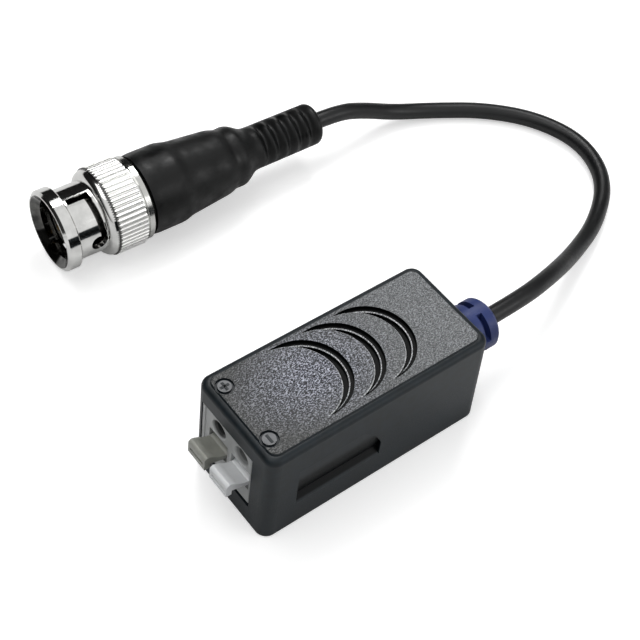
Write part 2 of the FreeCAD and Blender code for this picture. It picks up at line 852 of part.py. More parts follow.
def make_coupling_nut():
    foot, full = (nut_shoulder_at, nut_sleeve_radius), (knurl_from, knurl_radius - knurl_depth)
    shoulder = arc_edge(foot, round_middle(full, foot), full)
    edge = nut_rim_edge
    profile = [
        (0, nut_bore_radius + nut_mouth_chamfer), (0, nut_rim_radius - edge), (edge, nut_rim_radius),
        (nut_rim_length - edge / 2, nut_rim_radius), (nut_rim_length, nut_rim_radius - edge / 2),
        (nut_rim_length, nut_sleeve_radius), foot, full, (knurl_to, knurl_radius - knurl_depth),
        (knurl_to, nut_neck_radius), (nut_length, nut_neck_radius), (nut_length, nut_chamber_radius),
        (nut_chamber_from, nut_chamber_radius), (nut_chamber_from, nut_bore_radius),
        (nut_mouth_chamfer, nut_bore_radius),
    ]
    nut = turned(profile, {6: shoulder})
    under_grip = (nut_chamber_radius + knurl_radius) / 2
    grip = knurled_band().cut(rod(under_grip, V(0, 0, 0), V(nut_length, 0, 0)))
    nut = nut.fuse(grip)
    for half_turn in (0, 180):
        for cutter in ramp_cutter():
            cutter.rotate(V(0, 0, 0), V(1, 0, 0), half_turn + nut_clock)
            nut = nut.cut(cutter)
    return nut.removeSplitter()


def make_thrust_ring():
    end = nut_length + ring_length
    profile = [
        (nut_length - ring_spigot, ring_bore_radius), (nut_length - ring_spigot, nut_chamber_radius),
        (nut_length, nut_chamber_radius), (nut_length, ring_radius), (end - ring_edge, ring_radius),
        (end, ring_radius - ring_edge), (end, ring_bore_radius),
    ]
    return turned(profile)


def washer_place():
    """The slip washer lies just ahead of the thrust ring's spigot."""
    rear = nut_length - ring_spigot - joint_clearance
    return rear - washer_thickness, rear


def flange_end():
    """The flange leaves room ahead of the slip washer for the bent washer and the nut's travel."""
    return washer_place()[0] - float_travel - 2 * spring_washer_thickness


def make_slip_washer():
    front, rear = washer_place()
    return tube(washer_radius, washer_bore_radius, front, rear)


def make_wave_washer():
    """A washer bent about one diameter: a slice of a thin bowed sheet between flange and slip washer."""
    front, rear = flange_end(), washer_place()[0]
    bow = rear - front - spring_washer_thickness
    reach = washer_radius - joint_clearance
    sheet_radius = (reach ** 2 + bow ** 2) / (2 * bow)
    centre = V(rear - sheet_radius, -reach - 1, 0)
    side = V(0, 2 * reach + 2, 0)
    sheet = Part.makeCylinder(sheet_radius, side.Length, centre, side)
    sheet = sheet.cut(Part.makeCylinder(sheet_radius - spring_washer_thickness, side.Length, centre, side))
    return sheet.common(tube(reach, washer_bore_radius, front, rear))


def make_plug_body():
    flange_radius = nut_chamber_radius - flange_clearance
    flange_rear = flange_end()
    body = turned([
        (sleeve_front, sleeve_bore_radius), (sleeve_front, sleeve_radius - sleeve_lead),
        (sleeve_front + sleeve_lead, sleeve_radius), (sleeve_relief_from, sleeve_radius),
        (sleeve_relief_from, sleeve_relief_radius), (flange_from, sleeve_relief_radius),
        (flange_from, flange_radius),
        (flange_rear, flange_radius), (flange_rear, barrel_radius), (barrel_end, barrel_radius),
        (barrel_end, stem_radius), (stem_end, stem_radius), (stem_end, stem_bore_radius),
        (insulator_end, stem_bore_radius), (insulator_end, sleeve_bore_radius),
    ])
    slit_end = sleeve_front + sleeve_slit_length
    for quarter_turn in (0, 90):
        slit = box(sleeve_front - 1, slit_end, -sleeve_slit / 2, sleeve_slit / 2,
                   -sleeve_radius - 1, sleeve_radius + 1)
        slit.rotate(V(0, 0, 0), V(1, 0, 0), quarter_turn + sleeve_slit_clock)
        body = body.cut(slit)
    return body


def make_plug_insulator():
    return tube(sleeve_bore_radius, pin_shank_radius, insulator_front, insulator_end)


def make_centre_pin():
    return turned([
        (pin_front, 0), (pin_front, pin_tip_radius), (pin_front + pin_tip, pin_radius),
        (pin_shank_from, pin_radius), (pin_shank_full, pin_shank_radius), (pin_end, pin_shank_radius),
        (pin_end, 0),
    ])


def make_core_wire():
    return rod(core_wire_radius, V(pin_end, 0, 0), V(stem_end, 0, 0))


def make_plug_gasket():
    return tube(gasket_radius, sleeve_relief_radius, flange_from - gasket_length, flange_from)


def make_crimp_ferrule():
    return turned([
        (ferrule_from, stem_radius), (ferrule_from, ferrule_radius), (ferrule_end, ferrule_radius),
        (ferrule_end, cord_radius), (stem_end, cord_radius), (stem_end, stem_radius),
    ])


def make_plug_cable():
    return rod(cord_radius, V(stem_end, 0, 0), V(boot_end, 0, 0))


def make_cable_boot():
    collar_x, collar_end = boot_waist_at + boot_collar_run, boot_collar_radius - boot_collar_fall
    tail_full = (boot_end - boot_end_round, boot_tail_radius)
    tail_end = (boot_end, boot_tail_radius - boot_end_round)
    profile = [
        (boot_front, barrel_radius), (boot_front, boot_lip_radius),
        (boot_front + boot_lip_run, boot_grip_radius), (boot_grip_end, boot_grip_radius),
        (boot_grip_end + boot_step_run, boot_step_radius),
        (boot_waist_at - boot_shoulder_run, boot_waist_radius + boot_shoulder_rise),
        (boot_waist_at, boot_waist_radius), (collar_x, boot_collar_radius), (boot_collar_end, collar_end),
        (boot_neck_at, boot_neck_radius), tail_full, tail_end, (boot_end, cord_radius),
        (ferrule_end, cord_radius), (ferrule_end, ferrule_radius), (ferrule_from, ferrule_radius),
        (ferrule_from, stem_radius), (barrel_end, stem_radius), (barrel_end, barrel_radius),
    ]
    swell = (collar_x + boot_collar_middle[0], boot_collar_radius + boot_collar_middle[1])
    hollow = (boot_collar_end + boot_cove_middle[0], boot_neck_radius + boot_cove_middle[1])
    boot = turned(profile, {
        7: arc_edge(profile[7], swell, profile[8]),
        8: arc_edge(profile[8], hollow, profile[9]),
        10: arc_edge(tail_full, round_middle(tail_full, tail_end), tail_end),
    })
    for i in range(rib_count):
        for side in (rib_tilt, rib_tilt + 180):
            boot = boot.cut(rib_hollow(rib_first + i * rib_pitch, side))
    return boot


def rib_hollow(at, side):
    """A soft round hollow across one side of the tail, deepest in its middle, which lets it bend."""
    toward = V(0, math.cos(math.radians(side)), math.sin(math.radians(side)))
    return Part.makeTorus(rib_ring_radius, rib_section_radius, V(at, 0, 0) - toward * rib_offset, V(1, 0, 0))


def build():
    pieces = {
        "housing_base": make_housing_base(),
        "housing_lid": make_housing_lid(),
        "terminal_block": make_terminal_block(),
        "lever_pin": pivot_rod(pivot_pin_radius),
        "circuit_board": make_circuit_board(),
        "ferrite_core": make_ferrite_core(),
        "line_winding": make_winding(1),
        "video_winding": make_winding(-1),
        "surge_arrester": make_surge_arrester(),
        "cable_tail": make_cable_tail(),
        "signal_lead": bent_lead(grommet_y + signal_lead_aside, lead_foot_gaps[0]),
        "shield_lead": bent_lead(grommet_y - shield_lead_aside, lead_foot_gaps[1]),
        "cord_grommet": make_cord_grommet(),
        "cord": make_cord(),
    }
    for pole, y in pole_y.items():
        pieces["lever_" + pole] = make_lever(y)
        pieces["clamp_spring_" + pole] = make_clamp_spring(y)
        pieces["contact_" + pole] = make_contact(y)
    for pole, side in (("plus", 1), ("minus", -1)):
        pieces["capacitor_" + pole] = make_chip(chip_x, side * (board_half_width - chip_edge_gap))
    plug_pieces = {
        "coupling_nut": make_coupling_nut(),
        "thrust_ring": make_thrust_ring(),
        "slip_washer": make_slip_washer(),
        "wave_washer": make_wave_washer(),
        "plug_gasket": make_plug_gasket(),
        "plug_body": make_plug_body(),
        "plug_insulator": make_plug_insulator(),
        "centre_pin": make_centre_pin(),
        "core_wire": make_core_wire(),
        "crimp_ferrule": make_crimp_ferrule(),
        "plug_cable": make_plug_cable(),
        "cable_boot": make_cable_boot(),
    }
    pieces.update({name: on_plug(shape) for name, shape in plug_pieces.items()})
    return pieces


os.makedirs("parts", exist_ok=True)
for name, shape in build().items():
    if not shape.isValid() or len(shape.Solids) != 1:
        print("check", name, shape.isValid(), len(shape.Solids))
    shape.exportStep("parts/" + name + ".step")
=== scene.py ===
"""Looks of a video balun: a small moulded box with lever terminals, a thin coaxial lead and a bayonet plug.

Metres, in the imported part's frame: +X from the terminal to the lead's exit, +Z up.
"""
import math

import bmesh
import bpy
from mathutils import Matrix, Vector


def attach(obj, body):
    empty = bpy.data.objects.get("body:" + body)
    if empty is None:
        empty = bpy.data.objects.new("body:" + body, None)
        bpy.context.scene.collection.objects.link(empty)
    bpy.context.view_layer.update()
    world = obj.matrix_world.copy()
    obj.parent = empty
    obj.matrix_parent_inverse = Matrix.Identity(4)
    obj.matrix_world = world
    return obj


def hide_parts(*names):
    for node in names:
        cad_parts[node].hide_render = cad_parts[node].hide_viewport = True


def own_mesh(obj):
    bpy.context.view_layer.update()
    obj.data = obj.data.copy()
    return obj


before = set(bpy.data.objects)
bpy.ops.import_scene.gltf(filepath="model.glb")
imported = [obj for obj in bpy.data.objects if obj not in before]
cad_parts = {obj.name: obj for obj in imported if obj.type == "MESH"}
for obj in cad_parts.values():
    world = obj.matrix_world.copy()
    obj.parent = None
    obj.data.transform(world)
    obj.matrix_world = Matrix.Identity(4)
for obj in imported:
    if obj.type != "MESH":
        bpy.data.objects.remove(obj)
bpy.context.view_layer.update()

MM = 0.001
FAR = 1.0
IMAGE_SIDE = 640

# camera, solved from the housing's corners in the photograph
CAMERA_PLACE = Vector((-84.2, -80.7, 167.1)) * MM
CAMERA_TURN = (39.16, -5.387, -37.441)
FOCAL_PIXELS = 1393.4
SENSOR = 36.0
NEAREST_SEEN = 5 * MM

# plug: its front end, and the way its axis points
PLUG_FRONT = Vector((-17.25, 50.45, 7.3))
PLUG_YAW = math.radians(-2.25)
PLUG_AXIS = Vector((math.cos(PLUG_YAW), math.sin(PLUG_YAW), 0))

# free lead, in millimetres: where the boot ends along the plug, and the lead's route as the part has it
BOOT_END = 49.5
LEAD_RADIUS = 1.4
REST = 1.42
LEAD_ROUTE = [
    Vector((26.4, -1.0, 10.0)),
    Vector((34.0, -1.0, 10.0)),
    Vector((42.9, 1.1, 7.7)),
    Vector((52.3, 4.5, 3.7)),
    Vector((62.5, 8.7, REST)),
    Vector((71.0, 15.0, REST)),
    Vector((74.2, 23.9, REST)),
    Vector((71.4, 32.6, REST)),
    Vector((64.9, 39.6, REST)),
    Vector((56.6, 44.6, REST)),
    Vector((49.6, 47.2, 2.3)),
    Vector((43.2, 48.0, 5.2)),
    PLUG_FRONT + PLUG_AXIS * (BOOT_END + 5.4),
    PLUG_FRONT + PLUG_AXIS * BOOT_END,
]

# coupling nut, as places along the plug, radii and a count, in millimetres: its knurl, the toothed edge of the
# shoulder ahead of it, which gets a painted dark reflection, and how far inward a wall faces before it gets the
# mouth's painted shade
KNURL_FROM = 8.5
KNURL_TO = 13.5
KNURL_LOW = 6.95
KNURL_HIGH = 9.0
KNURL_RIDGES = 112.0
TOOTHED_FROM = 8.3
TOOTHED_TO = 8.75
TOOTH_REACH = 0.12
MOUTH_FACING = (-1.2, -2.4)

# moulded boot: outer and inner outline as (place along the plug, radius), and the hollows in its tail
BOOT_OUTSIDE = [
    (15.5, 6.5), (16.0, 6.7), (21.3, 6.7), (22.8, 6.25), (30.4, 5.52), (31.8, 5.0), (32.6, 5.13), (33.6, 5.12),
    (34.6, 4.5), (35.6, 3.85), (36.4, 3.6), (48.5, 3.55),
]
BOOT_INSIDE = [(BOOT_END, 1.4), (26.0, 1.4), (26.0, 2.0), (17.0, 2.0), (17.0, 4.3), (15.5, 4.3)]
BOOT_STEP = 0.125
BOOT_SOFTNESS = 0.45
SOFT_STEPS = 8
BOOT_TIP_ROUND = 1.0
BOOT_TURNS = 96
BOOT_SHARP_FROM = math.radians(50)
HOLLOW_FIRST = 38.5
HOLLOW_PITCH = 2.2
HOLLOW_COUNT = 5
HOLLOW_RADIUS = 0.85
HOLLOW_DEPTH = 0.8
HOLLOW_STEEPNESS = 1.6
HOLLOW_ROUNDNESS = 0.8
HOLLOW_LEAST = 0.05
HOLLOW_SIDE = math.radians(128)

# lid, in millimetres: its top and the box that holds the crescents, and how far down the crescents' bevels reach
# and up they face; the bevels get a painted highlight
LID_TOP = 18.5
CRESCENTS_FROM = -15.0
CRESCENTS_TO = 13.0
CRESCENTS_HALF_WIDTH = 7.0
CRESCENTS_SOFT = 0.1
BEVEL_REACH = 0.64
BEVEL_FACING = (0.66, 0.75)

# lid's grain, in millimetres: how far either way it goes on from dark to pale, and the spot with the painted glints,
# as its middle, full reach and fading
GRAIN_REACH = 13.0
GLINT_CENTRE = Vector((-5.5, 0.5, LID_TOP))
GLINT_REACH = 1.5
GLINT_FADE = 7.5

# polarity marks on the lid, in millimetres: their discs and the signs on them
MARK_X = -16.65
MARK_MID_Y = 0.25
MARK_SPREAD = 10.05
DISC_RADIUS = 1.0
DISC_SOFT = 0.05
SIGN_LENGTH = 1.45
SIGN_WIDTH = 0.42
SIGN_HEIGHT = 0.12
SIGN_EDGE = 0.04

# the finger scoops' surfaces lie inside these limits, in millimetres
SCOOP_FROM_Y = 8.2
SCOOP_REACH_X = 16.0
SCOOP_LOW = 2.0
SCOOP_HIGH = 15.0
SCOOP_SOFT = 0.2

# wire holes in the terminal block, in millimetres, with how much painted shade each gets
WIRE_HOLE_RADIUS = 1.3
WIRE_HOLES = [(Vector((0, 3.06, 12.75)), 0.95), (Vector((0, -2.02, 12.75)), 0.6)]

# floor: half its side, how far it lies under the part, and where it turns from paper into backdrop
FLOOR_HALF = 1.5
FLOOR_DROP = 0.05 * MM
PAPER_TO = 0.12
BACKDROP_FROM = 0.3

# what the base and the lid are both moulded in, and the index of refraction of soft PVC
ABS_COLOURS = [(0.3, "#0a1216"), (0.7, "#101a20")]
ABS_IOR = 1.54
PVC_IOR = 1.53

# a noise's middle range, which holds most of its values, and a Mix node's two colour sockets
NOISE_LOW = 0.3
NOISE_HIGH = 0.7
UNDER = 6
OVER = 7


def linear(hex_colour):
    """An sRGB hex colour as linear RGBA."""
    channels = [int(hex_colour[i:i + 2], 16) / 255 for i in (1, 3, 5)]
    return [c / 12.92 if c <= 0.04045 else ((c + 0.055) / 1.055) ** 2.4 for c in channels] + [1.0]


def feed(tree, socket, source):
    """Gives a socket a node's first live output, another socket's link or a plain value."""
    if isinstance(source, bpy.types.Node):
        source = next(output for output in source.outputs if output.enabled)
    if isinstance(source, bpy.types.NodeSocket):
        tree.links.new(source, socket)
    else:
        socket.default_value = source


def add(tree, kind, inputs=None, stops=(), **settings):
    """Adds one shader node with its settings and what feeds its sockets. Stops are a colour ramp's, as place and
    hex colour."""
    made = tree.nodes.new(kind)
    for name, value in settings.items():
        setattr(made, name, value)
    if stops:
        elements = made.color_ramp.elements
        while len(elements) < len(stops):
            elements.new(0.5)
        for element, (place, colour) in zip(elements, stops):
            element.position = place
            element.color = linear(colour)
    for name, source in (inputs or {}).items():
        feed(tree, made.inputs[name], source)
    return made


def feed_shader(tree, shader, **sources):
    """Feeds the sockets of a material's shader, whose names are written with underscores."""
    for name, source in sources.items():
        feed(tree, shader.inputs[name.replace("_", " ")], source)


def new_material(name, **values):
    """A material with one plain Principled shader and where a point is in the part's frame, in metres. Even
    values sit on the shader's own sockets."""
    made = bpy.data.materials.new(name)
    made.use_nodes = True
    tree = made.node_tree
    shader = tree.nodes["Principled BSDF"]
    feed_shader(tree, shader, **values)
    return made, tree, shader, add(tree, "ShaderNodeTexCoord").outputs["Object"]


def per_mm(size):
    """The texture scale that gives a pattern of this size in millimetres."""
    return 1 / (size * MM)


def within(tree, *limits):
    """One where each value lies from its low to its high limit, falling to nothing over its soft width outside."""
    share = 1.0
    for value, low, high, soft in limits:
        for outer, inner in ((low - soft, low), (high + soft, high)):
            edge = add(tree, "ShaderNodeMapRange", {"Value": value, "From Min": outer, "From Max": inner})
            share = add(tree, "ShaderNodeMath", {0: share, 1: edge}, operation="MULTIPLY")
    return share


# housing
def in_scoop(tree, axes):
    """One in the finger scoops, set into the housing's long sides, where the colour gets painted shade and the shine
    is lower.
    """
    out = add(tree, "ShaderNodeMath", {0: axes["Y"]}, operation="ABSOLUTE")
    return within(tree, (out, -FAR, SCOOP_FROM_Y * MM, SCOOP_SOFT * MM),
                  (axes["X"], -SCOOP_REACH_X * MM, SCOOP_REACH_X * MM, SCOOP_SOFT * MM),
                  (axes["Z"], SCOOP_LOW * MM, SCOOP_HIGH * MM, SCOOP_SOFT * MM))


def moulded_abs(name="moulded_satin_abs"):
    """ABS moulded in a polished tool: near black, with a soft, slightly uneven shine. The unevenness is drawn
    0.12 mm wide, coarser than the tool leaves it, so that it shows."""
    made, tree, shader, place = new_material(name, IOR=ABS_IOR)
    scoop_shade = in_scoop(tree, add(tree, "ShaderNodeSeparateXYZ", {"Vector": place}).outputs)
    cloud = add(tree, "ShaderNodeTexNoise", {"Vector": place, "Scale": per_mm(9), "Detail": 3.0})
    fine = add(tree, "ShaderNodeTexNoise", {"Vector": place, "Scale": per_mm(0.12), "Detail": 2.0})
    plain = add(tree, "ShaderNodeValToRGB", {"Fac": cloud}, ABS_COLOURS)
    # painted shade: the colour turns near black in the finger scoops
    feed_shader(
        tree, shader,
        Base_Color=add(tree, "ShaderNodeMix", {"Factor": scoop_shade, UNDER: plain, OVER: linear("#040607")},
                       data_type="RGBA"),
        Specular_IOR_Level=add(tree, "ShaderNodeMapRange", {"Value": scoop_shade, "To Min": 0.24, "To Max": 0.09}),
        Roughness=add(tree, "ShaderNodeMapRange", {"Value": fine, "From Min": NOISE_LOW, "From Max": NOISE_HIGH,
                                                   "To Min": 0.38, "To Max": 0.5}),
        Normal=add(tree, "ShaderNodeBump", {"Height": fine, "Distance": 0.006 * MM, "Strength": 0.5}))
    return made


def mark_disc(tree, axes, side):
    """One on the disc inside a polarity ring."""
    middle = MARK_MID_Y + side * MARK_SPREAD / 2
    return within(tree, (axes["X"], (MARK_X - DISC_RADIUS) * MM, (MARK_X + DISC_RADIUS) * MM, DISC_SOFT * MM),
                  (axes["Y"], (middle - DISC_RADIUS) * MM, (middle + DISC_RADIUS) * MM, DISC_SOFT * MM))


def lid_grain(tree, place):
    """Fine wavy relief, stretched askew across the lid, and the slow wobble that warps it. It is drawn a little
    coarser than the real spark erosion, so that it shows."""
    wobble = add(tree, "ShaderNodeTexNoise", {"Vector": place, "Scale": per_mm(1.1), "Detail": 1.0})
    warped = add(tree, "ShaderNodeVectorMath", {0: wobble.outputs["Color"], "Scale": 0.5 * MM},
                 operation="SCALE")
    moved = add(tree, "ShaderNodeVectorMath", {0: place, 1: warped}, operation="ADD")
    stretch = add(tree, "ShaderNodeMapping", {"Vector": moved, "Scale": (0.7, 1.15, 1.0),
                                              "Rotation": (0, 0, math.radians(-45))})
    relief = add(tree, "ShaderNodeTexNoise", {"Vector": stretch, "Scale": per_mm(0.18), "Detail": 1.0,
                                              "Roughness": 0.5})
    return wobble, relief


def grain_colour(tree, place, axes, relief):
    """The grain's painted highlights and shade: pale crests over dark pits, darker at the front, paler at the rear,
    with a pool of brighter painted glints in the middle.
    """
    towards_rear = add(tree, "ShaderNodeMapRange", {"Value": axes["X"], "From Min": -GRAIN_REACH * MM,
                                                    "From Max": GRAIN_REACH * MM})
    front = add(tree, "ShaderNodeValToRGB", {"Fac": relief},
                [(0.34, "#2c2d2d"), (0.5, "#434444"), (0.66, "#6c6d6d")])
    rear = add(tree, "ShaderNodeValToRGB", {"Fac": relief},
               [(0.34, "#484a4b"), (0.5, "#67696b"), (0.66, "#929598")])
    calm = add(tree, "ShaderNodeMix", {"Factor": towards_rear, UNDER: front, OVER: rear}, data_type="RGBA")
    glinting = add(tree, "ShaderNodeValToRGB", {"Fac": relief},
                 [(0.37, "#0f1013"), (0.5, "#3e4048"), (0.63, "#b9bcc9")])
    centred = add(tree, "ShaderNodeVectorMath", {0: place, 1: (-GLINT_CENTRE * MM).to_tuple()}, operation="ADD")
    squeezed = add(tree, "ShaderNodeVectorMath", {0: centred, 1: (0.7, 1.0, 0.0)}, operation="MULTIPLY")
    away = add(tree, "ShaderNodeVectorMath", {0: squeezed}, operation="LENGTH")
    glint_pool = within(tree, (away, -FAR, GLINT_REACH * MM, GLINT_FADE * MM))
    return add(tree, "ShaderNodeMix", {"Factor": glint_pool, UNDER: calm, OVER: glinting}, data_type="RGBA")


def textured_lid():
    """The same ABS, spark-eroded on the raised panel: fine wavy grain whose crests carry painted highlights, black
    with painted shade and dull in the stepped grooves, with a painted highlight on the grooves' bevelled edges."""
    made, tree, shader, place = new_material("spark_eroded_abs_lid", IOR=ABS_IOR)
    axes = add(tree, "ShaderNodeSeparateXYZ", {"Vector": place}).outputs
    facing = add(tree, "ShaderNodeTexCoord").outputs["Normal"]
    upward = add(tree, "ShaderNodeSeparateXYZ", {"Vector": facing}).outputs["Z"]
    middle = [(axes["X"], CRESCENTS_FROM * MM, CRESCENTS_TO * MM, CRESCENTS_SOFT * MM),
              (axes["Y"], -CRESCENTS_HALF_WIDTH * MM, CRESCENTS_HALF_WIDTH * MM, CRESCENTS_SOFT * MM)]

    on_panel = within(tree, (axes["Z"], (LID_TOP - 0.02) * MM, FAR, 0.02 * MM))
    off_panel = add(tree, "ShaderNodeMath", {0: 1.0, 1: on_panel}, operation="SUBTRACT")
    marks = add(tree, "ShaderNodeMath", {0: mark_disc(tree, axes, 1), 1: mark_disc(tree, axes, -1)}, operation="ADD")
    off_marks = add(tree, "ShaderNodeMath", {0: 1.0, 1: marks}, operation="SUBTRACT")
    grained = add(tree, "ShaderNodeMath", {0: on_panel, 1: off_marks}, operation="MULTIPLY")
    bevel = within(tree, *middle, (upward, *BEVEL_FACING, 0.02),
                   (axes["Z"], (LID_TOP - BEVEL_REACH) * MM, FAR, 0.01 * MM))
    stepped = add(tree, "ShaderNodeMath", {0: within(tree, *middle), 1: off_panel}, operation="MULTIPLY")
    groove_shade = add(tree, "ShaderNodeMath", {0: stepped, 1: in_scoop(tree, axes)}, operation="MAXIMUM")

    wobble, relief = lid_grain(tree, place)
    smooth = add(tree, "ShaderNodeValToRGB", {"Fac": wobble}, ABS_COLOURS)
    # painted sheen: the smooth mark discs are coloured mid grey, lighter than the ABS around them
    disc = add(tree, "ShaderNodeValToRGB", {"Fac": wobble}, [(0.3, "#4c4e51"), (0.7, "#5c5e61")])
    # painted highlight on the crescents' bevelled edges
    bevel_highlight = add(tree, "ShaderNodeValToRGB", {"Fac": relief}, [(0.4, "#7c7e81"), (0.6, "#eceef0")])
    # painted shade: black in the stepped grooves and the finger scoops
    colour = add(tree, "ShaderNodeMix", {"Factor": groove_shade, UNDER: smooth, OVER: linear("#040505")},
                 data_type="RGBA")
    top = grain_colour(tree, place, axes, relief)
    top = add(tree, "ShaderNodeMix", {"Factor": marks, UNDER: top, OVER: disc}, data_type="RGBA")
    for share, coat in ((on_panel, top), (bevel, bevel_highlight)):
        colour = add(tree, "ShaderNodeMix", {"Factor": share, UNDER: colour, OVER: coat}, data_type="RGBA")

    pressed = add(tree, "ShaderNodeMath", {0: relief, 1: grained}, operation="MULTIPLY")
    feed_shader(
        tree, shader, Base_Color=colour,
        Roughness=add(tree, "ShaderNodeMapRange", {"Value": on_panel, "To Min": 0.44, "To Max": 0.33}),
        Specular_IOR_Level=add(tree, "ShaderNodeMapRange", {"Value": groove_shade, "To Min": 0.24, "To Max": 0.06}),
        Normal=add(tree, "ShaderNodeBump", {"Height": pressed, "Distance": 0.12 * MM, "Strength": 1.0}))
    return made


# terminal
def moulded_nylon(name, light, dark, roughness, shaded_holes=()):
    """Nylon, slightly milky: light passes a little way in and softens its edges. Its wire holes get painted shade
    inside.
    """
    made, tree, shader, place = new_material(name, Roughness=roughness, IOR=1.53, Subsurface_Weight=0.25,
                                             Subsurface_Scale=0.4 * MM, Subsurface_Radius=(1.0, 1.0, 1.0))
    cloud = add(tree, "ShaderNodeTexNoise", {"Vector": place, "Scale": per_mm(2.5), "Detail": 3.0})
    fine = add(tree, "ShaderNodeTexNoise", {"Vector": place, "Scale": per_mm(0.15), "Detail": 2.0})
    colour = add(tree, "ShaderNodeValToRGB", {"Fac": cloud}, [(0.3, dark), (0.7, light)])
    for centre, hole_shade in shaded_holes:
        off = add(tree, "ShaderNodeVectorMath", {0: place, 1: (-centre * MM).to_tuple()}, operation="ADD")
        across = add(tree, "ShaderNodeVectorMath", {0: off, 1: (0, 1, 1)}, operation="MULTIPLY")
        reach = add(tree, "ShaderNodeVectorMath", {0: across}, operation="LENGTH")
        hole = within(tree, (reach, -FAR, WIRE_HOLE_RADIUS * MM, 0.25 * MM))
        shade = add(tree, "ShaderNodeMath", {0: hole, 1: hole_shade}, operation="MULTIPLY")
        colour = add(tree, "ShaderNodeMix", {"Factor": shade, UNDER: colour, OVER: linear("#161716")},
                     data_type="RGBA")
    feed_shader(
        tree, shader, Base_Color=colour,
        Normal=add(tree, "ShaderNodeBump", {"Height": fine, "Distance": 0.008 * MM, "Strength": 0.5}))
    return made


# lead, strain relief and boot
def moulded_pvc(name, light, dark, roughness, grain):
    """Soft PVC: a dull, even surface with a faint grain from the tool."""
    made, tree, shader, place = new_material(name, IOR=PVC_IOR, Specular_IOR_Level=0.3)
    cloud = add(tree, "ShaderNodeTexNoise", {"Vector": place, "Scale": per_mm(4), "Detail": 3.0})
    fine = add(tree, "ShaderNodeTexNoise", {"Vector": place, "Scale": per_mm(grain), "Detail": 3.0})
    feed_shader(
        tree, shader,
        Base_Color=add(tree, "ShaderNodeValToRGB", {"Fac": cloud}, [(0.3, dark), (0.7, light)]),
        Roughness=add(tree, "ShaderNodeMapRange", {"Value": fine, "From Min": NOISE_LOW, "From Max": NOISE_HIGH,
                                                   "To Min": roughness - 0.05, "To Max": roughness + 0.08}),
        Normal=add(tree, "ShaderNodeBump", {"Height": fine, "Distance": 0.03 * MM, "Strength": 0.5}))
    return made


def boot_pvc():
    """Matt PVC moulded over the plug: near black, with the soft dents and dull patches of a thick moulding."""
    made, tree, shader, place = new_material("black_pvc_boot", IOR=PVC_IOR, Specular_IOR_Level=0.22)
    patches = add(tree, "ShaderNodeTexNoise", {"Vector": place, "Scale": per_mm(2.2), "Detail": 3.0})
    fine = add(tree, "ShaderNodeTexNoise", {"Vector": place, "Scale": per_mm(0.3), "Detail": 2.0})
    dents = add(tree, "ShaderNodeBump", {"Height": patches, "Distance": 0.16 * MM, "Strength": 0.5})
    feed_shader(
        tree, shader,
        Base_Color=add(tree, "ShaderNodeValToRGB", {"Fac": patches}, [(0.3, "#030404"), (0.7, "#070808")]),
        Roughness=add(tree, "ShaderNodeMapRange", {"Value": patches, "From Min": NOISE_LOW,
                                                   "From Max": NOISE_HIGH, "To Min": 0.3, "To Max": 0.62}),
        Normal=add(tree, "ShaderNodeBump", {"Height": fine, "Distance": 0.02 * MM, "Strength": 0.5,
                                            "Normal": dents}))
    return made


